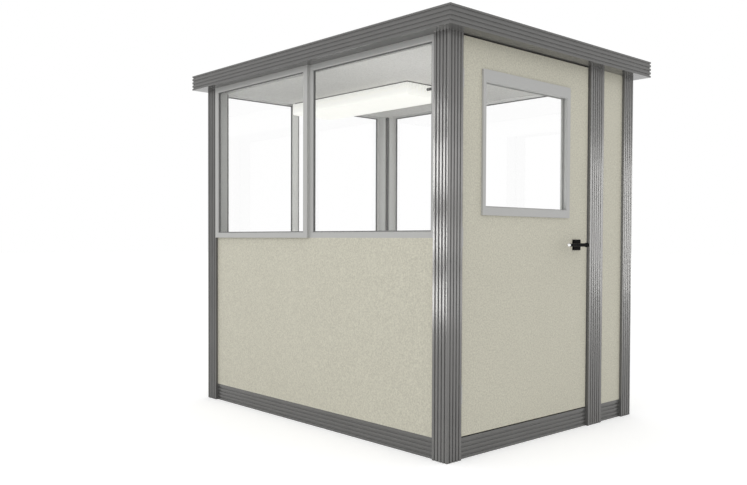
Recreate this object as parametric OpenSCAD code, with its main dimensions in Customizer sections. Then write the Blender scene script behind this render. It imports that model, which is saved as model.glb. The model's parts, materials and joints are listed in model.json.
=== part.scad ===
// Modular in-plant office: a free-standing booth of ribbed posts, sandwich panels,
// sliding windows, one swing door and a flat roof. Millimetres, +Z up.
// The door wall faces -Y. The origin is the middle of the footprint, on the ground.

/* [Booth] */
// Width over the posts along the door wall
booth_w = 1829; // [1600:1:3600]
// Length over the posts along the side walls
booth_l = 2438; // [1800:1:4800]
// Height from the ground to the roof soffit
wall_h = 2286; // [2100:1:2800]

/* [Extrusions] */
// Face width of a corner post
post_w = 112; // [104:1:160]
// Face width of the post beside the door
door_post_w = 150; // [110:1:220]
// Wall of the hollow posts and rails
extrusion_t = 4; // [3:0.5:6]
// Distance between neighbouring ribs
rib_pitch = 24; // [20:0.5:28]
// Width of the groove between two ribs
groove_w = 7; // [4:0.5:9]
// Depth of the groove between two ribs
groove_d = 5.5; // [3:0.5:9]
// Rounding of the edges of a rib
rib_round = 3.5; // [1:0.5:4]
// Radius on the outer corner of a corner post
corner_r = 7; // [3:0.5:12]
// Height of the base rail
base_h = 116; // [110:1:160]
// Height of the base rail's lowest groove
base_first = 18; // [15:0.5:24]

/* [Walls] */
// Thickness of the wall panels and window frames
wall_t = 76; // [60:1:90]
// Height of the window sill above the ground
sill_h = 1195; // [900:1:1400]

/* [Floor] */
// Thickness of the floor deck
deck_t = 40; // [25:1:60]
// Number of bearers under the floor deck
bearer_count = 5; // [3:1:9]
// Width of a bearer
bearer_w = 50; // [30:1:90]

/* [Roof] */
// Overhang of the roof beyond the posts
overhang = 81; // [75:1:160]
// Height of the fascia
fascia_h = 103.5; // [102:0.5:180]
// Depth of the fascia's highest groove below its top
fascia_first = 15; // [15:0.5:24]
// Space between the wall tops and the roof panel
ceiling_t = 20; // [10:1:40]
// How far the ceiling hangs below the wall tops
ceiling_drop = 30; // [10:1:34]
// Reach of the fascia's top flange over the roof panel
top_flange = 60; // [30:1:75]

/* [Windows] */
// Thickness of the fixed frame around both sashes
frame_t = 12; // [8:1:20]
// Width of the sash rails and jamb stiles
sash_w = 36; // [28:1:50]
// Width of the meeting stiles
meeting_w = 46; // [36:1:60]
// Depth of a sash
sash_d = 20; // [16:1:24]
// Thickness of the glass
glass_t = 6; // [4:0.5:8]
// Depth of the glass behind the front face of its sash
glass_set = 12; // [4:0.5:16]
// How far the two sashes lie one behind the other
sash_lap = 14; // [6:1:30]
// Where the sashes of the left window meet, as a share of its wall
left_meet_ratio = 0.5; // [0.4:0.005:0.6]
// Where the sashes of the right and back windows meet, as a share of their walls
far_meet_ratio = 0.575; // [0.4:0.005:0.6]
// Bevel around the openings of the sashes and of the glazing frame
frame_bevel = 5; // [2:0.5:8]

/* [Door] */
// Clear width between the hinge post and the door post
door_bay_w = 1208; // [900:1:1260]
// Thickness of the door leaf
leaf_t = 38; // [35:1:55]
// Gap between the leaf and the hinge post
hinge_gap = 8; // [7:0.5:12]
// Gap at the latch side, the head and the threshold
leaf_gap = 7; // [6:0.5:12]
// Width of the glazed opening in the leaf
lite_w = 770; // [300:1:800]
// Height of the glazed opening in the leaf
lite_h = 693; // [300:1:720]
// Height of the glazed opening's lower edge above the ground
lite_z = 1366; // [1300:1:1420]
// Shift of the glazed opening from the middle of the leaf towards the hinges
lite_shift = 22; // [0:1:40]
// Face width of the glazing frame's stiles
lite_frame_w = 30; // [20:1:60]
// Face width of the glazing frame's top rail
lite_top_w = 67; // [25:1:80]
// Face width of the glazing frame's bottom rail
lite_bottom_w = 48; // [25:1:60]
// How far the glazing frame stands proud of the outer face of the leaf
lite_frame_t = 12; // [8:1:20]
// How far the glazing frame stands proud of the inner face of the leaf
lite_inner_t = 6; // [6:1:20]
// Wall of the glazing frame where it lines the opening in the leaf
lining_t = 4; // [2:0.5:8]
// Width of the stop strips behind the leaf
stop_w = 22; // [16:1:30]
// Gap between the closed leaf and the stop strips
stop_gap = 5; // [5:0.5:8]

/* [Hinges] */
// Number of hinges
hinge_count = 3; // [2:1:4]
// Height of one hinge
hinge_h = 102; // [76:1:127]
// Radius of the hinge knuckle
knuckle_r = 7; // [6:0.5:9]
// Radius of the hinge pin
pin_r = 4; // [3:0.5:5]
// Thickness of the hinge plates
hinge_plate_t = 2.5; // [2:0.5:3]
// Depth of the hinge plates along the edge of the leaf
hinge_plate_w = 32; // [25:1:42]

/* [Handle] */
// Height of the lever above the ground
lever_z = 1157; // [900:1:1250]
// Distance from the latch edge of the leaf to the spindle
backset = 118; // [60:1:140]
// Diameter of the lever bar
lever_d = 19; // [14:1:25]
// Length of the lever from the spindle to its end
lever_len = 205; // [110:1:220]
// Distance from the face of the leaf to the middle of the lever
lever_standoff = 78; // [45:1:80]
// Diameter of the spindle
spindle_d = 22; // [12:1:30]
// Width of the rose plate
rose_w = 80; // [50:1:100]
// Height of the rose plate
rose_h = 66; // [50:1:100]
// Thickness of the rose plate
rose_t = 9; // [5:1:14]
// Bevel around the face of the rose plate
rose_bevel = 3; // [1:0.5:4]

/* [Light] */
// Length of the ceiling light
light_l = 1290; // [600:1:1300]
// Width of the ceiling light
light_w = 390; // [200:1:420]
// Depth of the lens below the housing
lens_d = 84; // [50:1:90]
// Depth of the housing under the ceiling
housing_d = 10; // [6:1:20]
// How far the housing is set in from the edges of the lens
housing_inset = 12; // [4:1:30]
// Distance from the back wall posts to the light
light_back_gap = 20; // [20:1:400]
// Shift of the light from the middle of the ceiling towards the left wall
light_shift = 35; // [0:1:150]
// Number of prism ribs along the lens
prism_count = 26; // [8:1:40]
// Height of a prism rib
prism_h = 3; // [1:0.5:5]

/* [Hidden] */
$fn = 48;
hair = 0.3;
recess = (post_w - wall_t) / 2;
inner = recess + wall_t;
roof_top = wall_h + fascia_h;
ceiling_z = wall_h - ceiling_drop;
web_t = groove_d + extrusion_t;
rib_step = 22.5;
edge_land = 16;
bearer_inset = 130;
lens_r = 16;
connector_l = 36;
connector_d = 20;
connector_drop = 28;

// Places along the door wall, from the front left corner
door_start = post_w;
door_end = door_start + door_bay_w;
door_post_end = door_end + door_post_w;
leaf_x0 = door_start + hinge_gap;
leaf_x1 = door_end - leaf_gap;
leaf_z0 = base_h + leaf_gap;
leaf_z1 = wall_h - leaf_gap;
leaf_y0 = recess;
leaf_y1 = leaf_y0 + leaf_t;
stop_y0 = leaf_y1 + stop_gap;
lite_x0 = (leaf_x0 + leaf_x1 - lite_w) / 2 - lite_shift;
lite_z1 = lite_z + lite_h;
glass_y0 = (leaf_y0 + leaf_y1 - glass_t) / 2;

// Hinge axis, in the corner between the post and the outer face of the leaf
knuckle_clear = 0.5;
axis_x = door_start + knuckle_r + knuckle_clear;
axis_y = leaf_y0 - knuckle_r - knuckle_clear;
hinge_inset = 180;
hinge_step = (leaf_z1 - leaf_z0 - 2 * hinge_inset - hinge_h) / (hinge_count - 1);
knuckle_h = hinge_h / 3;
pin_clear = 0.1;

// Lever spindle
spindle_x = leaf_x1 - backset;
spindle_clear = 0.1;
lever_y_out = leaf_y0 - lever_standoff;
lever_y_in = leaf_y1 + lever_standoff;
bore_reach = 100;

post_colour = "#72716f";
panel_colour = "#bdbaa8";
frame_colour = "#b0b0ad";
roof_colour = "#d4d4d0";
dark_colour = "#1c1c1c";
glass_colour = [0.85, 0.92, 0.92, 0.35];

// Wall frames: x runs along the wall, y inwards from the outer post face
module on_front() { translate([-booth_w / 2, -booth_l / 2, 0]) children(); }
module on_left() { translate([-booth_w / 2, booth_l / 2, 0]) rotate(-90) children(); }
module on_right() { translate([booth_w / 2, -booth_l / 2, 0]) rotate(90) children(); }
module on_back() { translate([booth_w / 2, booth_l / 2, 0]) rotate(180) children(); }

module box(from, to) { translate(from) cube(to - from); }

// Sweeps a profile drawn in (y, z) along x
module sweep_x(length) { rotate([90, 0, 90]) linear_extrude(length) children(); }

// A groove of the ribbed face: points of [distance along the face, depth],
// from the flat crown of the rib before it to that of the next
function groove(at) = concat(
    [for (turn = [0 : rib_step : 90])
        [at - groove_w / 2 - rib_round * (1 - sin(turn)), groove_d * (1 - cos(turn))]],
    [for (turn = [0 : rib_step : 90])
        [at + groove_w / 2 + rib_round * (1 - cos(turn)), groove_d * (1 - sin(turn))]]
);

// Grooves one pitch apart
function groove_row(first, count) = [for (i = [0 : count - 1]) each groove(first + i * rib_pitch)];

// A rail face has as many grooves as fit after the first, with a land at the far edge
function groove_count(width, first) = floor((width - edge_land - first) / rib_pitch) + 1;
function rail_face(width, first) = concat([[0, 0]], groove_row(first, groove_count(width, first)));

// A post face has its grooves centred on its width
function post_face(width) =
    let (steps = floor((width - 2 * edge_land) / rib_pitch))
    groove_row((width - steps * rib_pitch) / 2, steps + 1);

function flipped(points) = [for (i = [len(points) - 1 : -1 : 0]) [points[i].y, points[i].x]];

// Frame ring in the plane of a wall, with its own width on each side
module ring(from, to, left, right, bottom, top) {
    difference() {
        box(from, to);
        box([from.x + left, from.y - 1, from.z + bottom], [to.x - right, to.y + 1, to.z - top]);
    }
}

// Cuts a bevel around an opening, from the face at y into the frame, on its outer or inner side
module opening_bevel(from, to, y, inwards) {
    wide = frame_bevel * [1, 0, 1];
    deep = [0, inwards * frame_bevel, 0];
    skin = [0, -inwards * hair, 0];
    hull() {
        box([from.x, min(y, y + skin.y), from.z] - wide, [to.x, max(y, y + skin.y), to.z] + wide);
        box([from.x, min(y, y + deep.y), from.z], [to.x, max(y, y + deep.y), to.z]);
    }
}

// Posts
module corner_post() {
    color(post_colour)
    linear_extrude(wall_h)
    difference() {
        polygon(concat(
            [for (turn = [0 : 15 : 90]) corner_r * [1 - cos(turn), 1 - sin(turn)]],
            post_face(post_w),
            [[post_w, 0], [post_w, post_w], [0, post_w]],
            flipped(post_face(post_w))
        ));
        translate([web_t, web_t]) square(post_w - web_t - extrusion_t);
    }
}

module post_front_left() { on_front() corner_post(); }
module post_front_right() { on_right() corner_post(); }
module post_back_left() { on_left() corner_post(); }
module post_back_right() { on_back() corner_post(); }

module door_post() {
    color(post_colour)
    on_front()
    translate([door_end, 0, 0])
    linear_extrude(wall_h)
    difference() {
        polygon(concat(
            [[0, 0]],
            post_face(door_post_w),
            [[door_post_w, 0], [door_post_w, post_w], [0, post_w]]
        ));
        translate([extrusion_t, web_t])
            square([door_post_w - 2 * extrusion_t, post_w - web_t - extrusion_t]);
    }
}

// Base rails
module base_rail(from, to) {
    color(post_colour)
    translate([from, 0, 0])
    sweep_x(to - from)
    difference() {
        polygon(concat(
            [for (point = rail_face(base_h, base_first)) [recess + point.y, point.x]],
            [[recess, base_h], [inner, base_h], [inner, 0]]
        ));
        translate([recess + web_t, extrusion_t])
            square([wall_t - web_t - extrusion_t, base_h - 2 * extrusion_t]);
    }
}

module base_rail_left() { on_left() base_rail(post_w, booth_l - post_w); }
module base_rail_right() { on_right() base_rail(post_w, booth_l - post_w); }
module base_rail_back() { on_back() base_rail(post_w, booth_w - post_w); }
module base_rail_front() { on_front() base_rail(door_post_end, booth_w - post_w); }
module door_threshold() { on_front() base_rail(door_start, door_end); }

// A slab between the walls, cut round the posts that stand into the room
module room_slab(low, high) {
    on_front()
    difference() {
        box([inner, inner, low], [booth_w - inner, booth_l - inner, high]);
        for (x = [0, booth_w - post_w], y = [0, booth_l - post_w])
            box([x, y, low - 1], [x + post_w, y + post_w, high + 1]);
        box([door_end, 0, low - 1], [door_post_end, post_w, high + 1]);
    }
}

// Floor
module floor_deck() {
    color("#8d8a82") room_slab(base_h - deck_t, base_h);
}

module floor_bearers() {
    step = (booth_l - 2 * bearer_inset - bearer_w) / (bearer_count - 1);
    color(post_colour)
    for (i = [0 : bearer_count - 1])
        translate([inner - booth_w / 2, bearer_inset - booth_l / 2 + i * step, 0])
            cube([booth_w - 2 * inner, bearer_w, base_h - deck_t]);
}

// Wall panels
module wall_panel(from, to, top) {
    color(panel_colour) box([from, recess, base_h], [to, inner, top]);
}

module panel_left() { on_left() wall_panel(post_w, booth_l - post_w, sill_h); }
module panel_right() { on_right() wall_panel(post_w, booth_l - post_w, sill_h); }
module panel_back() { on_back() wall_panel(post_w, booth_w - post_w, sill_h); }
module panel_front() { on_front() wall_panel(door_post_end, booth_w - post_w, wall_h); }

// Sliding windows, on a wall of a given length
module window_frame(length) {
    color(frame_colour)
    ring([post_w, recess, sill_h], [length - post_w, inner, wall_h], frame_t, frame_t, frame_t, frame_t);
}

module sash(from, to, left, right, rail) {
    color(frame_colour)
    difference() {
        ring(from, to, left, right, rail, rail);
        opening_bevel([from.x + left, 0, from.z + rail], [to.x - right, 0, to.z - rail], from.y, 1);
    }
}

// The outer sash ends where the sashes meet, and the inner one starts one lap before that
module outer_sash(length, meet) {
    sash([post_w, recess - sash_d, sill_h], [length * meet, recess, wall_h], sash_w, meeting_w, sash_w);
}

module inner_sash(length, meet) {
    rail = sash_w - frame_t;
    sash([length * meet - sash_lap, recess, sill_h + frame_t],
         [length - post_w - frame_t, recess + sash_d, wall_h - frame_t], meeting_w, rail, rail);
}

module window_glass(length, meet) {
    outer_y = recess - sash_d + glass_set;
    inner_y = recess + glass_set;
    z0 = sill_h + sash_w;
    z1 = wall_h - sash_w;
    color(glass_colour) {
        box([post_w + sash_w, outer_y, z0], [length * meet - meeting_w, outer_y + glass_t, z1]);
        box([length * meet - sash_lap + meeting_w, inner_y, z0],
            [length - post_w - sash_w, inner_y + glass_t, z1]);
    }
}

module window_frame_left() { on_left() window_frame(booth_l); }
module window_frame_right() { on_right() window_frame(booth_l); }
module window_frame_back() { on_back() window_frame(booth_w); }
module outer_sash_left() { on_left() outer_sash(booth_l, left_meet_ratio); }
module outer_sash_right() { on_right() outer_sash(booth_l, far_meet_ratio); }
module outer_sash_back() { on_back() outer_sash(booth_w, far_meet_ratio); }
module inner_sash_left() { on_left() inner_sash(booth_l, left_meet_ratio); }
module inner_sash_right() { on_right() inner_sash(booth_l, far_meet_ratio); }
module inner_sash_back() { on_back() inner_sash(booth_w, far_meet_ratio); }
module window_glass_left() { on_left() window_glass(booth_l, left_meet_ratio); }
module window_glass_right() { on_right() window_glass(booth_l, far_meet_ratio); }
module window_glass_back() { on_back() window_glass(booth_w, far_meet_ratio); }

// Roof
module ceiling_panel() {
    color(roof_colour) room_slab(ceiling_z, wall_h + ceiling_t);
}

module roof_panel() {
    half_w = booth_w / 2 + overhang - web_t;
    half_l = booth_l / 2 + overhang - web_t;
    color(roof_colour)
    box([-half_w, -half_l, wall_h + ceiling_t], [half_w, half_l, roof_top - extrusion_t]);
}

// Ribbed channel with a flat soffit that runs over the wall tops, mitred at both ends
module fascia(length) {
    web = web_t - overhang;
    flange = web + top_flange;
    mitre = max(flange, inner) + 1;
    reach = overhang + 1;
    soffit_top = wall_h + extrusion_t;
    color(post_colour)
    intersection() {
        translate([-overhang, 0, 0])
        sweep_x(length + 2 * overhang)
        polygon(concat(
            [for (point = rail_face(fascia_h, fascia_first)) [point.y - overhang, roof_top - point.x]],
            [[-overhang, wall_h], [inner, wall_h], [inner, soffit_top], [web, soffit_top]],
            [[web, roof_top - extrusion_t], [flange, roof_top - extrusion_t], [flange, roof_top]]
        ));
        translate([0, 0, wall_h - 1])
        linear_extrude(fascia_h + 2)
        polygon([[-reach, -reach], [length + reach, -reach], [length - mitre, mitre], [mitre, mitre]]);
    }
}

module fascia_front() { on_front() fascia(booth_w); }
module fascia_back() { on_back() fascia(booth_w); }
module fascia_left() { on_left() fascia(booth_l); }
module fascia_right() { on_right() fascia(booth_l); }

// Ceiling light, along the length of the booth
module on_light() {
    translate([-light_shift, booth_l / 2 - post_w - light_back_gap - light_l, ceiling_z]) children();
}

// Sweeps a profile drawn in (x, z) along y
module sweep_y(length) { translate([0, length, 0]) rotate([90, 0, 0]) linear_extrude(length) children(); }

module light_housing() {
    edge = light_w / 2 - housing_inset;
    color(roof_colour)
    on_light()
    box([-edge, housing_inset, -housing_d], [edge, light_l - housing_inset, 0]);
}

// Section with rounded lower corners and prism ribs along the bottom
module light_lens() {
    side = light_w / 2;
    flat = light_w - 2 * lens_r;
    rib = flat / prism_count;
    color("white")
    on_light()
    translate([0, 0, -housing_d])
    sweep_y(light_l)
    polygon(concat(
        [[-side, 0]],
        [for (turn = [0 : 15 : 90])
            [-side + lens_r * (1 - cos(turn)), -lens_d + lens_r * (1 - sin(turn))]],
        [for (i = [1 : 2 * prism_count - 1])
            [(i * rib - flat) / 2, -lens_d + (i % 2) * prism_h]],
        [for (turn = [0 : 15 : 90])
            [side - lens_r * (1 - sin(turn)), -lens_d + lens_r * (1 - cos(turn))]],
        [[side, 0]]
    ));
}

module light_connector() {
    color(dark_colour)
    on_light()
    translate([0, 0, -housing_d - connector_drop])
    rotate([90, 0, 0])
    cylinder(h = connector_l, d = connector_d);
}

// Door frame side
module at_hinges() {
    for (i = [0 : hinge_count - 1])
        translate([0, 0, leaf_z0 + hinge_inset + i * hinge_step]) children();
}

module knuckle(from, to) { translate([axis_x, axis_y, from]) cylinder(r = knuckle_r, h = to - from); }

module post_hinge_plates() {
    plate_x = door_start + hinge_plate_t;
    color(post_colour)
    on_front()
    at_hinges() {
        box([door_start, leaf_y0, 0], [plate_x, leaf_y0 + hinge_plate_w, hinge_h]);
        for (z = [0, hinge_h - knuckle_h]) {
            box([door_start, axis_y, z], [plate_x, leaf_y0 + 1, z + knuckle_h]);
            knuckle(z, z + knuckle_h);
        }
        translate([axis_x, axis_y, 0]) cylinder(r = pin_r, h = hinge_h);
    }
}

module door_stops() {
    color(post_colour)
    on_front() {
        for (x = [door_start, door_end - stop_w])
            box([x, stop_y0, base_h], [x + stop_w, inner, wall_h - stop_w - hair]);
        box([door_start, stop_y0, wall_h - stop_w], [door_end, inner, wall_h]);
    }
}

// Door
module at_spindle() { translate([spindle_x, 0, lever_z]) rotate([-90, 0, 0]) children(); }

module spindle_bore() {
    at_spindle()
    translate([0, 0, -bore_reach]) cylinder(d = spindle_d + 2 * spindle_clear, h = leaf_y1 + 2 * bore_reach);
}

module door_leaf() {
    color(panel_colour)
    on_front()
    difference() {
        box([leaf_x0, leaf_y0, leaf_z0], [leaf_x1, leaf_y1, leaf_z1]);
        box([lite_x0, leaf_y0 - 1, lite_z], [lite_x0 + lite_w, leaf_y1 + 1, lite_z1]);
        spindle_bore();
    }
}

// One half of the glazing frame: a bevelled trim on the leaf's face and a lining up to the glass
module glazing_half(face, leaf_face, glass_face, inwards) {
    from = [lite_x0 + lining_t, 0, lite_z + lining_t];
    to = [lite_x0 + lite_w - lining_t, 0, lite_z1 - lining_t];
    side = lite_frame_w * [1, 0, 1];
    top = (lite_top_w - lite_frame_w) * [0, 0, 1];
    bottom = (lite_bottom_w - lite_frame_w) * [0, 0, 1];
    wall = lining_t * [1, 0, 1];
    color(frame_colour)
    on_front()
    difference() {
        union() {
            y = [0, min(face, leaf_face), 0];
            box(from - side - bottom + y, to + side + top + y + [0, abs(leaf_face - face), 0]);
            box(from - wall + [0, min(face, glass_face), 0], to + wall + [0, max(face, glass_face), 0]);
        }
        box([from.x, min(face, glass_face) - 1, from.z], [to.x, max(face, glass_face) + 1, to.z]);
        opening_bevel(from, to, face, inwards);
    }
}

module door_glazing_frame() {
    glazing_half(leaf_y0 - lite_frame_t, leaf_y0, glass_y0, 1);
    glazing_half(leaf_y1 + lite_inner_t, leaf_y1, glass_y0 + glass_t, -1);
}

module door_glass() {
    color(glass_colour)
    on_front()
    box([lite_x0, glass_y0, lite_z], [lite_x0 + lite_w, glass_y0 + glass_t, lite_z1]);
}

module door_hinge_plates() {
    plate_x = leaf_x0 - hinge_plate_t;
    z0 = knuckle_h + hair;
    z1 = hinge_h - knuckle_h - hair;
    color(post_colour)
    on_front()
    at_hinges()
    difference() {
        union() {
            box([plate_x, leaf_y0, 0], [leaf_x0, leaf_y0 + hinge_plate_w, hinge_h]);
            box([plate_x, axis_y, z0], [leaf_x0, leaf_y0 + 1, z1]);
            knuckle(z0, z1);
        }
        translate([axis_x, axis_y, -1]) cylinder(r = pin_r + pin_clear, h = hinge_h + 2);
    }
}

// Bevelled plate from the leaf's face to its own outer face
module rose(leaf_face, outwards) {
    half = [rose_w / 2, 0, rose_h / 2];
    bevel = rose_bevel * [1, 0, 1];
    shoulder = leaf_face + outwards * (rose_t - rose_bevel);
    face = leaf_face + outwards * rose_t;
    translate([spindle_x, 0, lever_z])
    hull() {
        box([0, min(leaf_face, shoulder), 0] - half, [0, max(leaf_face, shoulder), 0] + half);
        box([0, min(leaf_face, face), 0] - half + bevel, [0, max(leaf_face, face), 0] + half - bevel);
    }
}

module door_roses() {
    color(dark_colour)
    on_front()
    difference() {
        union() {
            rose(leaf_y0, -1);
            rose(leaf_y1, 1);
        }
        spindle_bore();
    }
}

// Handle
module lever_spindle() {
    start = lever_y_out + lever_d / 2;
    end = lever_y_in - lever_d / 2;
    color(dark_colour)
    on_front()
    at_spindle()
    translate([0, 0, start]) cylinder(d = spindle_d, h = end - start);
}

// A lever with its hub round the spindle's end, and a rounded far end
module lever() {
    reach = lever_len - lever_d / 2;
    translate([0, 0, -lever_d / 2]) cylinder(d = spindle_d + lever_d / 4, h = lever_d);
    rotate([0, -90, 0]) cylinder(d = lever_d, h = reach);
    translate([-reach, 0, 0]) sphere(d = lever_d);
}

module door_levers() {
    color(dark_colour)
    on_front()
    at_spindle()
    for (y = [lever_y_out, lever_y_in])
        translate([0, 0, y]) lever();
}

post_front_left();
post_front_right();
post_back_left();
post_back_right();
door_post();
base_rail_left();
base_rail_right();
base_rail_back();
base_rail_front();
door_threshold();
floor_deck();
floor_bearers();
panel_left();
panel_right();
panel_back();
panel_front();
window_frame_left();
window_frame_right();
window_frame_back();
outer_sash_left();
outer_sash_right();
outer_sash_back();
inner_sash_left();
inner_sash_right();
inner_sash_back();
window_glass_left();
window_glass_right();
window_glass_back();
ceiling_panel();
roof_panel();
fascia_front();
fascia_back();
fascia_left();
fascia_right();
light_housing();
light_lens();
light_connector();
post_hinge_plates();
door_stops();
door_leaf();
door_glazing_frame();
door_glass();
door_hinge_plates();
door_roses();
lever_spindle();
door_levers();
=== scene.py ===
"""Looks of the modular in-plant office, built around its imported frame. Metres, +Z up."""
import json
import math

import bmesh
import bpy
from mathutils import Matrix, Vector


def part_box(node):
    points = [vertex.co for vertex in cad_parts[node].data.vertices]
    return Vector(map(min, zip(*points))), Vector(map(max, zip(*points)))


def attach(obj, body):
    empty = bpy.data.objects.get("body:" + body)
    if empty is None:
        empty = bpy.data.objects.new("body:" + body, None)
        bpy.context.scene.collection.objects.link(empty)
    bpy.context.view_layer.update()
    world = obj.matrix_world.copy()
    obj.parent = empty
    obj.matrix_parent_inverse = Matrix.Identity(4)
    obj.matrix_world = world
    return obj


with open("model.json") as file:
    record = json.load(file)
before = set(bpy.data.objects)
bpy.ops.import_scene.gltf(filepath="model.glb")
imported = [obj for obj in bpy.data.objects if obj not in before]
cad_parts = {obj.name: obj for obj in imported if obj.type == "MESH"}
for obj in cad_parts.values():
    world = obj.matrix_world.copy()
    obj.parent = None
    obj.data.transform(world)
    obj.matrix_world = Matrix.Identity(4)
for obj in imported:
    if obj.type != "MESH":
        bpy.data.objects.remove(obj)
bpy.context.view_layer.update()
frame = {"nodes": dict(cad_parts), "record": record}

IMAGE_W, IMAGE_H = 747, 485

# Where the camera stands, from the outer corner of the near post
CAMERA_ALONG_DOOR_WALL = -3.1056
CAMERA_ALONG_WINDOW_WALL = -2.8818
CAMERA_HEIGHT = 1.1845
# How the camera is turned, in radians, and its lens, in pixels
CAMERA_YAW = 0.7506634
CAMERA_PITCH = 0.0233282
CAMERA_ROLL = 0.0041832
CAMERA_FOCAL_PX = 805.739
CAMERA_MIDDLE_PX = (389.902, 258.525)
SENSOR_MM = 36.0

# Sizes that the boxes of the nodes don't give
GLASS_T = 0.006
MEETING_STILE_W = 0.046
FRAME_T = 0.012
STOP_W = 0.022
LINING_T = 0.004
LEVER_R = 0.0095
POST_FACE_Y = -1.22

NEAR_POST = "post_front_left"
DOOR_SIDE_POSTS = ["door_post", "post_front_right"]
POSTS = [NEAR_POST, "post_back_left", "post_back_right"] + DOOR_SIDE_POSTS
FAR_FRAMES = [piece + "_" + side for side in ("right", "back")
              for piece in ("window_frame", "outer_sash", "inner_sash")]
ROOM = [node for node in frame["nodes"] if node not in POSTS]
# Each window wall: its name, the axis along it, the axis through it and which way is out
WINDOW_WALLS = [("left", 1, 0, -1), ("right", 1, 0, 1), ("back", 0, 1, 1)]

BLACK = (0, 0, 0, 1)
WHITE = (1, 1, 1, 1)


# Node helpers

def feed(tree, socket, value):
    """Links an input to another node's output, or sets it to a value."""
    if isinstance(value, bpy.types.NodeSocket):
        tree.links.new(value, socket)
    else:
        socket.default_value = value


def add_node(tree, kind, **values):
    """A node with its inputs fed, or its settings set, by name."""
    node = tree.nodes.new(kind)
    for name, value in values.items():
        if name in node.inputs:
            feed(tree, node.inputs[name], value)
        else:
            setattr(node, name, value)
    return node


def add_range(tree, value, low, high, to_low=0.0, to_high=1.0):
    """A value mapped from one range to another, kept inside it."""
    node = add_node(tree, "ShaderNodeMapRange", Value=value)
    for name, bound in (("From Min", low), ("From Max", high), ("To Min", to_low), ("To Max", to_high)):
        feed(tree, node.inputs[name], bound)
    return node.outputs["Result"]


def add_mix(tree, factor, first, second):
    """A colour between two others. The node's sockets for colours have these numbers."""
    node = add_node(tree, "ShaderNodeMix", data_type="RGBA")
    for slot, value in ((0, factor), (6, first), (7, second)):
        feed(tree, node.inputs[slot], value)
    return node.outputs[2]


def add_math(tree, operation, first, second):
    """A sum, a product or the like of two values."""
    node = add_node(tree, "ShaderNodeMath", operation=operation)
    feed(tree, node.inputs[0], first)
    feed(tree, node.inputs[1], second)
    return node.outputs[0]


def add_noise(tree, place, **values):
    """A noise over the surface."""
    return add_node(tree, "ShaderNodeTexNoise", Vector=place, **values).outputs["Fac"]


def add_bump(tree, shader, height, strength, distance):
    """Relief on a shader's surface."""
    bump = add_node(tree, "ShaderNodeBump", Strength=strength, Distance=distance, Height=height)
    feed(tree, shader.inputs["Normal"], bump.outputs["Normal"])


def mix_shaders(tree, factor, first, second):
    """The first shader where the factor is 0, the second where it is 1."""
    mix = add_node(tree, "ShaderNodeMixShader", Fac=factor)
    feed(tree, mix.inputs[1], first)
    feed(tree, mix.inputs[2], second)
    return mix.outputs["Shader"]


def new_material(name):
    """A material's tree, its Principled shader and its Object coordinates."""
    material = bpy.data.materials.new(name)
    material.use_nodes = True
    tree = material.node_tree
    tree.nodes.clear()
    tree.nodes.new("ShaderNodeOutputMaterial")
    shader = tree.nodes.new("ShaderNodeBsdfPrincipled")
    place = tree.nodes.new("ShaderNodeTexCoord")
    show(tree, shader.outputs["BSDF"])
    return material, tree, shader, place.outputs["Object"]


def show(tree, shader):
    """Puts a shader on the surface of a material."""
    out = next(node for node in tree.nodes if node.type == "OUTPUT_MATERIAL")
    feed(tree, out.inputs["Surface"], shader)


def new_group(name, inputs, outputs):
    """A shader node group that reads a Place, with named sockets: (name, socket type, default)."""
    group = bpy.data.node_groups.new(name, "ShaderNodeTree")
    group.interface.new_socket(name="Place", in_out="INPUT", socket_type="NodeSocketVector")
    for label, kind, default in inputs:
        group.interface.new_socket(name=label, in_out="INPUT", socket_type=kind).default_value = default
    for label, kind in outputs:
        group.interface.new_socket(name=label, in_out="OUTPUT", socket_type=kind)
    return group, group.nodes.new("NodeGroupInput"), group.nodes.new("NodeGroupOutput")


def place_group(tree, group, place, **values):
    """A shader node group in a material, with its own values."""
    node = add_node(tree, "ShaderNodeGroup", node_tree=group)
    for name, value in dict(values, Place=place).items():
        feed(tree, node.inputs[name], value)
    return node


# Shared effects

def make_speckle_group():
    """Fine speckle over a slow drift: a colour between two tones, and a height."""
    group, start, end = new_group(
        "speckle",
        [("Base", "NodeSocketColor", (0.5, 0.5, 0.5, 1)), ("Fleck", "NodeSocketColor", (0.4, 0.4, 0.4, 1)),
         ("Grain", "NodeSocketFloat", 110.0), ("Drift", "NodeSocketFloat", 0.2)],
        [("Color", "NodeSocketColor"), ("Height", "NodeSocketFloat")])
    given = start.outputs
    fine = add_noise(group, given["Place"], Scale=given["Grain"], Detail=4.0, Roughness=0.65)
    slow = add_noise(group, given["Place"], Scale=1.6, Detail=3.0)
    grain = add_range(group, fine, 0.32, 0.68)
    drift = add_math(group, "MULTIPLY", slow, given["Drift"])
    tone = add_math(group, "ADD", grain, drift)
    feed(group, end.inputs["Color"], add_mix(group, tone, given["Base"], given["Fleck"]))
    feed(group, end.inputs["Height"], grain)
    return group


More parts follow.
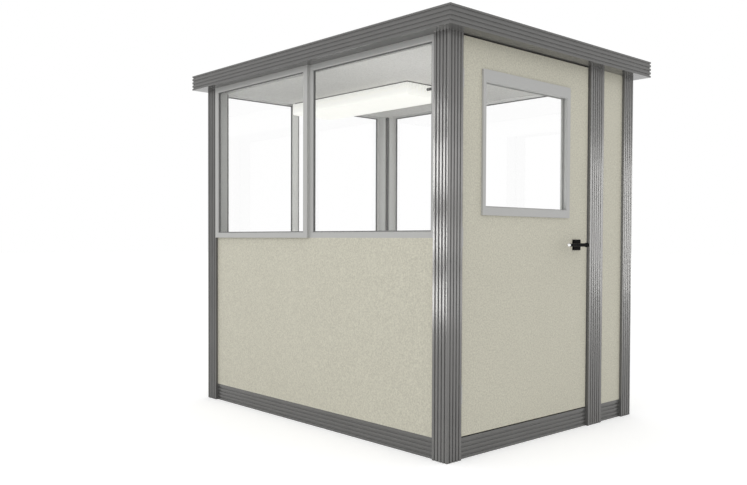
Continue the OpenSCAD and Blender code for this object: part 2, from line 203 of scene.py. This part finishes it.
def make_drawn_metal_group():
    """Metal drawn through a die: streaks along its length over soft clouds."""
    group, start, end = new_group(
        "drawn_metal",
        [("Base", "NodeSocketColor", (0.2, 0.2, 0.2, 1)), ("Dull", "NodeSocketColor", (0.1, 0.1, 0.1, 1)),
         ("Stretch", "NodeSocketVector", (300.0, 300.0, 3.0)),
         ("Smooth", "NodeSocketFloat", 0.25), ("Rough", "NodeSocketFloat", 0.4)],
        [("Color", "NodeSocketColor"), ("Roughness", "NodeSocketFloat"), ("Height", "NodeSocketFloat")])
    given = start.outputs
    stretched = add_node(group, "ShaderNodeVectorMath", operation="MULTIPLY")
    feed(group, stretched.inputs[0], given["Place"])
    feed(group, stretched.inputs[1], given["Stretch"])
    streak = add_noise(group, stretched.outputs[0], Scale=1.0, Detail=3.0)
    cloud = add_noise(group, given["Place"], Scale=7.0, Detail=4.0)
    tone = add_math(group, "ADD", streak, cloud)
    rough = add_range(group, tone, 0.7, 1.3, given["Smooth"], given["Rough"])
    dullness = add_range(group, tone, 0.7, 1.3)
    feed(group, end.inputs["Color"], add_mix(group, dullness, given["Base"], given["Dull"]))
    feed(group, end.inputs["Roughness"], rough)
    feed(group, end.inputs["Height"], tone)
    return group


SPECKLE = make_speckle_group()
DRAWN_METAL = make_drawn_metal_group()


# Finishes

SPECKLE_RELIEF = 0.0006
STREAK_RELIEF = 0.0005
STREAK_BUMP = 0.015


def speckled_finish(name, base, fleck, grain, roughness, bump, drift=0.2, specular=0.5):
    """Paint, coated sheet, plastic or rubber: a base colour with finer flecks of another."""
    material, tree, shader, place = new_material(name)
    group = place_group(tree, SPECKLE, place, Base=(*base, 1), Fleck=(*fleck, 1), Grain=grain, Drift=drift)
    feed(tree, shader.inputs["Base Color"], group.outputs["Color"])
    feed(tree, shader.inputs["Roughness"], roughness)
    feed(tree, shader.inputs["Specular IOR Level"], specular)
    add_bump(tree, shader, group.outputs["Height"], bump, SPECKLE_RELIEF)
    return material


def metal_finish(name, base, dull, stretch, smooth, rough, metallic=1.0, specular=0.5):
    """Metal with streaks along one axis, where it is a little duller and rougher."""
    material, tree, shader, place = new_material(name)
    group = place_group(tree, DRAWN_METAL, place, Stretch=stretch, Smooth=smooth, Rough=rough,
                        Base=(*base, 1), Dull=(*dull, 1))
    feed(tree, shader.inputs["Base Color"], group.outputs["Color"])
    feed(tree, shader.inputs["Roughness"], group.outputs["Roughness"])
    feed(tree, shader.inputs["Metallic"], metallic)
    feed(tree, shader.inputs["Specular IOR Level"], specular)
    add_bump(tree, shader, group.outputs["Height"], STREAK_BUMP, STREAK_RELIEF)
    return material


def glass_finish():
    """Clear glass with faint smears. Light for the room passes straight through it."""
    material, tree, shader, place = new_material("clear_glass")
    feed(tree, shader.inputs["Base Color"], WHITE)
    feed(tree, shader.inputs["Transmission Weight"], 1.0)
    feed(tree, shader.inputs["IOR"], 1.3)
    smears = add_noise(tree, place, Scale=3.0, Detail=5.0)
    feed(tree, shader.inputs["Roughness"], add_range(tree, smears, 0.5, 0.8, 0.0, 0.02))
    clear = add_node(tree, "ShaderNodeBsdfTransparent", Color=(0.97, 0.98, 0.975, 1))
    path = add_node(tree, "ShaderNodeLightPath")
    lighting = add_math(tree, "MAXIMUM", path.outputs["Is Shadow Ray"], path.outputs["Is Diffuse Ray"])
    show(tree, mix_shaders(tree, lighting, shader.outputs["BSDF"], clear.outputs["BSDF"]))
    return material


def lens_finish():
    """White acrylic that glows, less between its prism ribs and less, with a grain, towards its top."""
    material, tree, shader, place = new_material("light_lens")
    feed(tree, shader.inputs["Base Color"], (0.32, 0.32, 0.30, 1))
    feed(tree, shader.inputs["Emission Strength"], 1.0)
    feed(tree, shader.inputs["Roughness"], 0.5)
    low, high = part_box("light_lens")
    axes = add_node(tree, "ShaderNodeSeparateXYZ", Vector=place)
    ribs = add_node(tree, "ShaderNodeTexWave", bands_direction="X", Scale=10.5, Vector=place)
    grain = add_noise(tree, place, Scale=160.0, Detail=2.0)
    top = add_range(tree, grain, 0.35, 0.65, 0.60, 0.84)
    shade = add_range(tree, axes.outputs["Z"], low[2], high[2], 1.0, top)
    glow = add_range(tree, ribs.outputs["Fac"], 0.0, 1.0, 0.75, 0.82)
    light = add_mix(tree, add_math(tree, "MULTIPLY", glow, shade), BLACK, (1.0, 1.0, 0.95, 1))
    feed(tree, shader.inputs["Emission Color"], light)
    return material


# How much a streak is squeezed along each axis: least along its own
ALONG = {"x": (4.0, 350.0, 350.0), "y": (350.0, 4.0, 350.0), "z": (350.0, 350.0, 4.0)}

FINISH = {
    "wall_panel": speckled_finish(
        "wall_panel", (0.71, 0.69, 0.57), (0.51, 0.49, 0.405), grain=110.0, roughness=0.6, bump=0.3),
    "window_frame": speckled_finish(
        "window_frame", (0.51, 0.51, 0.495), (0.46, 0.46, 0.45), grain=300.0, roughness=0.4, bump=0.05),
    "clear_glass": glass_finish(),
    "floor_deck": speckled_finish(
        "floor_deck", (0.24, 0.23, 0.205), (0.14, 0.135, 0.12), grain=90.0, roughness=0.45, bump=0.1),
    "bearer_steel": speckled_finish(
        "bearer_steel", (0.08, 0.08, 0.08), (0.05, 0.05, 0.05), grain=60.0, roughness=0.5, bump=0.1),
    "ceiling": speckled_finish(
        "ceiling", (0.88, 0.87, 0.85), (0.70, 0.69, 0.67), grain=100.0, roughness=0.7, bump=0.3),
    "roof_sheet": speckled_finish(
        "roof_sheet", (0.50, 0.50, 0.49), (0.43, 0.43, 0.42), grain=25.0, roughness=0.45, bump=0.05,
        drift=0.5),
    # The housing's dark grey is painted shade: it stands for the shadow gap between the lens and the
    # ceiling.
    "light_housing": speckled_finish(
        "light_housing", (0.13, 0.13, 0.128), (0.10, 0.10, 0.098), grain=200.0, roughness=0.5, bump=0.05),
    "light_lens": lens_finish(),
    "hinge_steel": metal_finish(
        "hinge_steel", (0.50, 0.50, 0.49), (0.42, 0.42, 0.41), ALONG["z"], smooth=0.25, rough=0.4),
    "black_metal": speckled_finish(
        "black_metal", (0.002, 0.002, 0.002), (0.004, 0.004, 0.004), grain=300.0, roughness=0.35, bump=0.05,
        specular=0.03),
}
# The window beads are rubber, but their dark grey is also painted shade: it stands for the shaded reveals
# round the glass.
WINDOW_RUBBER_AND_REVEAL_SHADE = speckled_finish(
    "window_rubber_and_reveal_shade", (0.14, 0.14, 0.138), (0.17, 0.17, 0.168), grain=500.0, roughness=0.6, bump=0.05)
DOOR_RUBBER = speckled_finish(
    "door_rubber", (0.40, 0.40, 0.39), (0.36, 0.36, 0.35), grain=500.0, roughness=0.6, bump=0.05)
CAP_STEEL = metal_finish(
    "cap_steel", (0.95, 0.95, 0.94), (0.88, 0.88, 0.87), ALONG["x"], smooth=0.25, rough=0.35)
CONNECTOR = speckled_finish(
    "connector", (0.10, 0.10, 0.098), (0.07, 0.07, 0.068), grain=400.0, roughness=0.5, bump=0.05)
EXTRUSION = {
    axis: metal_finish("extrusion_" + axis, (0.172, 0.170, 0.166), (0.158, 0.156, 0.152), stretch,
                       smooth=0.145, rough=0.175, metallic=0.3, specular=0.15)
    for axis, stretch in ALONG.items()
}


def extrusion_finish(node):
    """The extrusion's finish, with streaks along the node's longest side."""
    low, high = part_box(node)
    size = [high[i] - low[i] for i in range(3)]
    return EXTRUSION["xyz"[size.index(max(size))]]


def dress_nodes():
    """Gives each node the finish of its slot."""
    for part in frame["record"]["subparts"]:
        node = part["node"]
        if node == "light_connector":
            finish = CONNECTOR
        else:
            finish = FINISH.get(part["material_slot"]) or extrusion_finish(node)
        mesh = frame["nodes"][node].data
        mesh.materials.clear()
        mesh.materials.append(finish)


# Geometry Nodes helpers

BEAD_SIDES = 8
SCREW_SIDES = 14
# Width of a screw head's flat crown, as a share of the head's
SCREW_CROWN = 0.55


def new_geometry_tree(name, inputs):
    """A Geometry Nodes tree with a Finish and named sizes: (name, default)."""
    tree = bpy.data.node_groups.new(name, "GeometryNodeTree")
    tree.interface.new_socket(name="Geometry", in_out="INPUT", socket_type="NodeSocketGeometry")
    tree.interface.new_socket(name="Finish", in_out="INPUT", socket_type="NodeSocketMaterial")
    for label, default in inputs:
        size = tree.interface.new_socket(name=label, in_out="INPUT", socket_type="NodeSocketFloat")
        size.default_value = default
    tree.interface.new_socket(name="Geometry", in_out="OUTPUT", socket_type="NodeSocketGeometry")
    return tree, tree.nodes.new("NodeGroupInput"), tree.nodes.new("NodeGroupOutput")


def end_geometry_tree(tree, start, end, geometry):
    """Realizes what the tree made and gives it its finish."""
    realize = add_node(tree, "GeometryNodeRealizeInstances", Geometry=geometry)
    paint = add_node(tree, "GeometryNodeSetMaterial", Geometry=realize.outputs["Geometry"],
                     Material=start.outputs["Finish"])
    feed(tree, end.inputs["Geometry"], paint.outputs["Geometry"])


def grow(name, mesh, tree, values, body):
    """Runs a tree on a mesh and keeps the result as a plain piece that rides on a body."""
    piece = bpy.data.objects.new(name, mesh)
    bpy.context.scene.collection.objects.link(piece)
    modifier = piece.modifiers.new(name, "NODES")
    modifier.node_group = tree
    for item in tree.interface.items_tree:
        if item.in_out == "INPUT" and item.name in values:
            modifier[item.identifier] = values[item.name]
    graph = bpy.context.evaluated_depsgraph_get()
    grown = bpy.data.meshes.new_from_object(piece.evaluated_get(graph), depsgraph=graph)
    piece.modifiers.remove(modifier)
    piece.data = grown
    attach(piece, body)


def make_bead_tree():
    """A round bead that follows each closed loop of edges."""
    tree, start, end = new_geometry_tree("gasket_bead", [("Radius", 0.003)])
    given = start.outputs
    path = add_node(tree, "GeometryNodeMeshToCurve", Mesh=given["Geometry"])
    section = add_node(tree, "GeometryNodeCurvePrimitiveCircle", Resolution=BEAD_SIDES,
                       Radius=given["Radius"])
    sweep = add_node(tree, "GeometryNodeCurveToMesh", Curve=path.outputs["Curve"])
    feed(tree, sweep.inputs["Profile Curve"], section.outputs["Curve"])
    end_geometry_tree(tree, start, end, sweep.outputs["Mesh"])
    return tree


def make_screw_tree():
    """A low domed screw head on each point, turned the way its point faces."""
    tree, start, end = new_geometry_tree("screw_heads", [("Radius", 0.005), ("Height", 0.003)])
    given = start.outputs
    crown = add_math(tree, "MULTIPLY", given["Radius"], SCREW_CROWN)
    head = add_node(tree, "GeometryNodeMeshCone", Vertices=SCREW_SIDES, Depth=given["Height"])
    feed(tree, head.inputs["Radius Bottom"], given["Radius"])
    feed(tree, head.inputs["Radius Top"], crown)
    facing = add_node(tree, "GeometryNodeInputNamedAttribute", data_type="FLOAT_VECTOR", Name="facing")
    turn = add_node(tree, "FunctionNodeAlignRotationToVector", axis="Z", Vector=facing.outputs["Attribute"])
    heads = add_node(tree, "GeometryNodeInstanceOnPoints", Points=given["Geometry"],
                     Instance=head.outputs["Mesh"], Rotation=turn.outputs["Rotation"])
    end_geometry_tree(tree, start, end, heads.outputs["Instances"])
    return tree


BEAD_TREE = make_bead_tree()
SCREW_TREE = make_screw_tree()


# Gaskets round the glass

WINDOW_BEAD_R = 0.005
DOOR_BEAD_R = 0.003
BEAD_INSET = 0.002
BEAD_LIFT = 0.001


def pane_loop(along, through, span, heights, depth):
    """The four corners of a bead's loop on one face of a pane."""
    left, right = span
    bottom, top = heights
    corners = []
    for place, z in ((left, bottom), (right, bottom), (right, top), (left, top)):
        corner = [0.0, 0.0, z]
        corner[along], corner[through] = place, depth
        corners.append(corner)
    return corners


def pane_loops(along, through, span, heights, faces, inset):
    """Loops on both faces of a pane, inside its edges and a little off the glass."""
    middle = sum(faces) / 2
    span, heights = ((low + inset, high - inset) for low, high in (span, heights))
    depths = [face + math.copysign(BEAD_LIFT, face - middle) for face in faces]
    return [pane_loop(along, through, span, heights, depth) for depth in depths]


def window_loops(side, along, through, out):
    """The bead loops of one wall's two panes, from the boxes of its sashes and its glass."""
    outer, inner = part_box("outer_sash_" + side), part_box("inner_sash_" + side)
    glass_low, glass_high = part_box("window_glass_" + side)
    if outer[0][along] < inner[0][along]:
        outer_span = (glass_low[along], outer[1][along] - MEETING_STILE_W)
        inner_span = (inner[0][along] + MEETING_STILE_W, glass_high[along])
    else:
        outer_span = (outer[0][along] + MEETING_STILE_W, glass_high[along])
        inner_span = (glass_low[along], inner[1][along] - MEETING_STILE_W)
    front, back = glass_low[through], glass_high[through]
    if out > 0:
        front, back = back, front
    heights = (glass_low[2], glass_high[2])
    outer_faces = (front, front - out * GLASS_T)
    inner_faces = (back + out * GLASS_T, back)
    return (pane_loops(along, through, outer_span, heights, outer_faces, BEAD_INSET)
            + pane_loops(along, through, inner_span, heights, inner_faces, BEAD_INSET))


def door_loops():
    """The bead loops of the door's pane, inside the lining of its opening."""
    low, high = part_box("door_glass")
    return pane_loops(0, 1, (low[0], high[0]), (low[2], high[2]), (low[1], high[1]), LINING_T + BEAD_INSET)


def loops_mesh(name, loops):
    """A mesh of closed loops of edges."""
    mesh = bpy.data.meshes.new(name)
    points = [corner for loop in loops for corner in loop]
    edges = [(4 * i + j, 4 * i + (j + 1) % 4) for i in range(len(loops)) for j in range(4)]
    mesh.from_pydata(points, edges, [])
    return mesh


def make_gaskets():
    """Beads of rubber round the panes of the windows and of the door; the window beads' dark grey is partly
    painted shade for the shaded reveals round the glass.
    """
    panes = [loop for wall in WINDOW_WALLS for loop in window_loops(*wall)]
    window_beads = loops_mesh("window_gaskets", panes)
    window_values = {"Radius": WINDOW_BEAD_R, "Finish": WINDOW_RUBBER_AND_REVEAL_SHADE}
    grow("window_gaskets", window_beads, BEAD_TREE, window_values, "booth")
    door_beads = loops_mesh("door_gasket", door_loops())
    door_values = {"Radius": DOOR_BEAD_R, "Finish": DOOR_RUBBER}
    grow("door_gasket", door_beads, BEAD_TREE, door_values, "door")


# Screws

SCREW_R = 0.0045
SCREW_H = 0.0025
ROSE_SCREW_H = 0.002
# From the middle of the rose to each of its screws
ROSE_SCREW_RISE = 0.022
# From a window frame's inner face to the screws in its jambs
FRAME_SCREW_DEPTH = 0.014
# From the ends of a row to its first and last screw, and how many screws it has
FRAME_SCREW_ROW = (0.12, 4)
STOP_SCREW_ROW = (0.15, 6)
GLAZING_SCREW_ROW = (0.0, 5)
INTO_ROOM = (0, 1, 0)


def points_mesh(name, points):
    """A mesh of points, each with the way that it faces."""
    mesh = bpy.data.meshes.new(name)
    mesh.from_pydata([place for place, way in points], [], [])
    facing = mesh.attributes.new("facing", "FLOAT_VECTOR", "POINT")
    for i, (place, way) in enumerate(points):
        facing.data[i].vector = way
    return mesh


def spread(low, high, inset, count):
    """Places between two ends, with an inset at each."""
    step = (high - low - 2 * inset) / (count - 1)
    return [low + inset + i * step for i in range(count)]


def glazing_screws():
    """Along the inner trim of the door's glazing frame."""
    low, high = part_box("door_glazing_frame")
    glass_low, glass_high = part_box("door_glass")
    left, right = (low[0] + glass_low[0]) / 2, (high[0] + glass_high[0]) / 2
    bottom, top = (low[2] + glass_low[2]) / 2, (high[2] + glass_high[2]) / 2
    rows = [(x, z) for x in spread(left, right, *GLAZING_SCREW_ROW) for z in (bottom, top)]
    sides = [(x, z) for z in spread(bottom, top, *GLAZING_SCREW_ROW)[1:-1] for x in (left, right)]
    return [((x, high[1], z), INTO_ROOM) for x, z in rows + sides]


def rose_screws():
    """Above and below the spindle on the inner rose."""
    low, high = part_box("door_roses")
    x, z = (low[0] + high[0]) / 2, (low[2] + high[2]) / 2
    return [((x, high[1], z + rise), INTO_ROOM) for rise in (-ROSE_SCREW_RISE, ROSE_SCREW_RISE)]


def stop_screws():
    """Down the two upright stop strips, on their inner faces."""
    low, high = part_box("door_stops")
    left, right = low[0] + STOP_W / 2, high[0] - STOP_W / 2
    heights = spread(low[2], high[2], *STOP_SCREW_ROW)
    return [((x, high[1], z), INTO_ROOM) for x in (left, right) for z in heights]


def frame_screws(side, along, through, out):
    """Up the jambs of a window frame, inside the room."""
    low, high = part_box("window_frame_" + side)
    depth = low[through] + FRAME_SCREW_DEPTH if out > 0 else high[through] - FRAME_SCREW_DEPTH
    points = []
    for edge, way in ((low[along] + FRAME_T, 1), (high[along] - FRAME_T, -1)):
        for z in spread(low[2], high[2], *FRAME_SCREW_ROW):
            place, facing = [0.0, 0.0, z], [0.0, 0.0, 0.0]
            place[along], place[through], facing[along] = edge, depth, way
            points.append((place, facing))
    return points


def make_screws():
    """Screw heads on the window frames, the door's stops, its glazing frame and its inner rose."""
    steel = {"Radius": SCREW_R, "Height": SCREW_H, "Finish": FINISH["hinge_steel"]}
    black = {"Radius": SCREW_R, "Height": ROSE_SCREW_H, "Finish": FINISH["black_metal"]}
    fixed = points_mesh(
        "frame_screws", [point for wall in WINDOW_WALLS for point in frame_screws(*wall)] + stop_screws())
    glazing = points_mesh("glazing_screws", glazing_screws())
    rose = points_mesh("rose_screws", rose_screws())
    grow("frame_screws", fixed, SCREW_TREE, steel, "booth")
    grow("glazing_screws", glazing, SCREW_TREE, steel, "door")
    grow("rose_screws", rose, SCREW_TREE, black, "door")


# Latch

LATCH_PLATE = (0.0012, 0.025, 0.165)
LATCH_BOLT = (0.005, 0.014, 0.028)
STRIKE_PLATE = (0.0012, 0.030, 0.120)


def spindle_height():
    """The height of the levers' axis."""
    low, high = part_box("lever_spindle")
    return (low[2] + high[2]) / 2


def add_box(builder, middle, size):
    """A box in a mesh builder."""
    place = Matrix.Translation(middle) @ Matrix.Diagonal((*size, 1.0))
    bmesh.ops.create_cube(builder, size=1.0, matrix=place)


def finish_piece(name, builder, finish, body):
    """A mesh builder made a piece that rides on a body."""
    mesh = bpy.data.meshes.new(name)
    builder.to_mesh(mesh)
    builder.free()
    mesh.materials.append(finish)
    piece = bpy.data.objects.new(name, mesh)
    bpy.context.scene.collection.objects.link(piece)
    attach(piece, body)
    return piece


def make_latch():
    """Faceplate and bolt on the edge of the leaf, strike plate on the door post."""
    leaf_low, leaf_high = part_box("door_leaf")
    y, z = (leaf_low[1] + leaf_high[1]) / 2, spindle_height()
    builder = bmesh.new()
    for size in (LATCH_PLATE, LATCH_BOLT):
        add_box(builder, (leaf_high[0] + size[0] / 2, y, z), size)
    finish_piece("door_latch", builder, FINISH["hinge_steel"], "door")
    post_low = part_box("door_post")[0]
    builder = bmesh.new()
    add_box(builder, (post_low[0] - STRIKE_PLATE[0] / 2, y, z), STRIKE_PLATE)
    finish_piece("strike_plate", builder, FINISH["hinge_steel"], "booth")


# Caps on the ends of the levers

CAP_R = 0.0098
CAP_SLEEVE = 0.014
CAP_SEGMENTS = 24


def add_lever_cap(builder, middle):
    """A ball end and the short sleeve behind it, in a mesh builder."""
    bmesh.ops.create_uvsphere(builder, u_segments=CAP_SEGMENTS, v_segments=CAP_SEGMENTS // 2,
                              radius=CAP_R, matrix=Matrix.Translation(middle))
    sleeve_middle = middle + Vector((CAP_SLEEVE / 2, 0, 0))
    sleeve = Matrix.Translation(sleeve_middle) @ Matrix.Rotation(math.pi / 2, 4, "Y")
    bmesh.ops.create_cone(builder, cap_ends=True, segments=CAP_SEGMENTS, radius1=CAP_R, radius2=CAP_R,
                          depth=CAP_SLEEVE, matrix=sleeve)


def make_lever_caps():
    """A bright cap over the free end of each lever."""
    low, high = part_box("door_levers")
    builder = bmesh.new()
    for y in (low[1] + LEVER_R, high[1] - LEVER_R):
        add_lever_cap(builder, Vector((low[0] + LEVER_R, y, spindle_height())))
    piece = finish_piece("lever_caps", builder, CAP_STEEL, "handle")
    for face in piece.data.polygons:
        face.use_smooth = True


# Camera

def camera_turn():
    """The camera's axes, turned by its yaw, then its pitch, then its roll."""
    ahead_flat = Vector((math.sin(CAMERA_YAW), math.cos(CAMERA_YAW), 0))
    right_flat = Vector((math.cos(CAMERA_YAW), -math.sin(CAMERA_YAW), 0))
    up_flat = Vector((0, 0, 1))
    ahead = math.cos(CAMERA_PITCH) * ahead_flat - math.sin(CAMERA_PITCH) * up_flat
    up = math.cos(CAMERA_PITCH) * up_flat + math.sin(CAMERA_PITCH) * ahead_flat
    right_rolled = math.cos(CAMERA_ROLL) * right_flat + math.sin(CAMERA_ROLL) * up
    up_rolled = -math.sin(CAMERA_ROLL) * right_flat + math.cos(CAMERA_ROLL) * up
    return Matrix((right_rolled, up_rolled, -ahead)).transposed().to_4x4()


def make_camera():
    """The camera, placed from the near post's outer corner."""
    data = bpy.data.cameras.new("camera")
    data.sensor_width = SENSOR_MM
    data.lens = CAMERA_FOCAL_PX / IMAGE_W * SENSOR_MM
    data.shift_x = (IMAGE_W / 2 - CAMERA_MIDDLE_PX[0]) / IMAGE_W
    data.shift_y = (CAMERA_MIDDLE_PX[1] - IMAGE_H / 2) / IMAGE_W
    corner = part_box(NEAR_POST)[0]
    place = camera_turn()
    place.translation = (corner[0] + CAMERA_ALONG_DOOR_WALL, corner[1] + CAMERA_ALONG_WINDOW_WALL,
                         CAMERA_HEIGHT)
    camera = bpy.data.objects.new("camera", data)
    camera.matrix_world = place
    bpy.context.scene.collection.objects.link(camera)
    bpy.context.scene.camera = camera


# Floor and light

def seen_ray(tree):
    """1 for rays that the camera sees, straight, in gloss or through glass."""
    path = add_node(tree, "ShaderNodeLightPath")
    straight = add_math(tree, "MAXIMUM", path.outputs["Is Camera Ray"], path.outputs["Is Glossy Ray"])
    return add_math(tree, "MAXIMUM", straight, path.outputs["Is Transmission Ray"])


def make_world(fill):
    """A white background where it is seen, and an even fill light elsewhere."""
    world = bpy.data.worlds.new("studio")
    world.use_nodes = True
    tree = world.node_tree
    tree.nodes.clear()
    seen = add_node(tree, "ShaderNodeBackground", Color=WHITE, Strength=1.0)
    soft = add_node(tree, "ShaderNodeBackground", Color=WHITE, Strength=fill)
    sky = mix_shaders(tree, seen_ray(tree), soft.outputs[0], seen.outputs[0])
    add_node(tree, "ShaderNodeOutputWorld", Surface=sky)
    bpy.context.scene.world = world


def floor_finish(glow):
    """A pale matt floor, lifted to white for rays that are seen, with its shadow kept."""
    material, tree, shader, place = new_material("floor")
    feed(tree, shader.inputs["Base Color"], (0.85, 0.85, 0.85, 1))
    feed(tree, shader.inputs["Roughness"], 1.0)
    feed(tree, shader.inputs["Specular IOR Level"], 0.0)
    strength = add_math(tree, "MULTIPLY", seen_ray(tree), glow)
    lift = add_node(tree, "ShaderNodeEmission", Color=WHITE, Strength=strength)
    both = tree.nodes.new("ShaderNodeAddShader")
    feed(tree, both.inputs[0], shader.outputs["BSDF"])
    feed(tree, both.inputs[1], lift.outputs["Emission"])
    show(tree, both.outputs["Shader"])
    return material


def make_floor(half, glow):
    """A square of floor under the office."""
    mesh = bpy.data.meshes.new("floor")
    corners = [(-half, -half, 0), (half, -half, 0), (half, half, 0), (-half, half, 0)]
    mesh.from_pydata(corners, [], [(0, 1, 2, 3)])
    mesh.materials.append(floor_finish(glow))
    floor = bpy.data.objects.new("floor", mesh)
    bpy.context.scene.collection.objects.link(floor)


def make_softbox(name, place, target, size, radiance, only=None):
    """An area lamp of a given radiance, hidden from the camera; it may light some nodes only."""
    data = bpy.data.lights.new(name, "AREA")
    data.shape = "RECTANGLE"
    data.size, data.size_y = size
    data.energy = radiance * math.pi * size[0] * size[1]
    lamp = bpy.data.objects.new(name, data)
    lamp.location = place
    lamp.rotation_euler = (Vector(target) - Vector(place)).to_track_quat("-Z", "Y").to_euler()
    lamp.visible_camera = False
    lamp.visible_transmission = False
    bpy.context.scene.collection.objects.link(lamp)
    if only:
        lit = bpy.data.collections.new(name + "_lit")
        for node in only:
            lit.objects.link(frame["nodes"][node])
        lamp.light_linking.receiver_collection = lit


# Bands of light down the near post: the height of each lamp's middle, its own height and its radiance
GLINT_BANDS = ((2.47, 0.22, 7.0), (1.93, 0.55, 12.0), (1.20, 0.33, 12.5), (0.59, 0.40, 11.0))
# The lamps for the near post's two faces: where they stand, what they face and how wide they are
LEFT_FACE_GLINTS = ((-3.83, 1.52), (-0.91, -1.2), 1.3)
RIGHT_FACE_GLINTS = ((1.53, -3.4), (-0.86, -1.2), 3.0)
# The right face's lamps are nearer, so their heights shrink towards the camera's height
RIGHT_FACE_SHRINK = 0.9065
RIGHT_FACE_STRENGTH = 0.12


def make_near_post_glints(name, lamps, shrink=1.0, strength=1.0):
    """Upright lamps above each other whose mirror images lie on one face of the near post."""
    place, target, width = lamps
    for middle, height, radiance in GLINT_BANDS:
        z = CAMERA_HEIGHT + (middle - CAMERA_HEIGHT) * shrink
        size = (width, height * shrink)
        make_softbox(name, (*place, z), (*target, z), size, radiance * strength, only=[NEAR_POST])


def make_post_wash(name, post, x, z, ahead, size, radiance):
    """A soft lamp straight ahead of the ribs on the door's side of a post."""
    make_softbox(name, (x, POST_FACE_Y - ahead, z), (x, POST_FACE_Y, z), size, radiance, only=[post])


def light_near_post():
    """Bands of glints on both faces of the near post, softened by a wash on its right face."""
    make_near_post_glints("left_glint", LEFT_FACE_GLINTS)
    make_near_post_glints("near_glint", RIGHT_FACE_GLINTS, RIGHT_FACE_SHRINK, RIGHT_FACE_STRENGTH)
    make_post_wash("near_wash", NEAR_POST, x=-0.75, z=1.3, ahead=0.53, size=(0.5, 1.3), radiance=1.8)


# The soft glint high on both posts on the door's right
HIGH_GLINT_Z = 1.99
# How far the wash on each of these posts stands to the right of the post's middle, and its radiance
WASH_ASIDE = 0.1
WASH_RADIANCE = {"door_post": 4.2, "post_front_right": 5.0}


def light_door_side_posts():
    """The high glint and the wash on the posts on the door's right."""
    make_softbox("right_glint", (3.35, -3.4, HIGH_GLINT_Z), (0.0, POST_FACE_Y, HIGH_GLINT_Z),
                 size=(2.7, 0.46), radiance=1.4, only=DOOR_SIDE_POSTS)
    for post in DOOR_SIDE_POSTS:
        low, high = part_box(post)
        x = (low[0] + high[0]) / 2 + WASH_ASIDE
        make_post_wash("post_wash", post, x, z=1.27, ahead=0.5, size=(1.0, 0.95),
                       radiance=WASH_RADIANCE[post])


def make_studio():
    """A pale floor and soft light all round, light in the room and glints on the posts."""
    make_world(fill=0.9)
    make_floor(half=60.0, glow=0.35)
    make_softbox("key", (-7.0, -1.5, 4.5), target=(0, 0, 1.2), size=(3.0, 3.0), radiance=1.6)
    make_softbox("room_fill", (-0.3, -0.7, 1.15), target=(-0.3, -0.7, 2.2), size=(0.7, 0.7), radiance=3.0,
                 only=ROOM)
    make_softbox("frame_fill", (-0.55, -0.9, 1.2), target=(0.9, 1.2, 1.6), size=(0.8, 1.4), radiance=9.0,
                 only=FAR_FRAMES)
    light_near_post()
    light_door_side_posts()


dress_nodes()
make_gaskets()
make_screws()
make_latch()
make_lever_caps()
make_camera()
make_studio()
bpy.context.scene.view_settings.view_transform = "Standard"
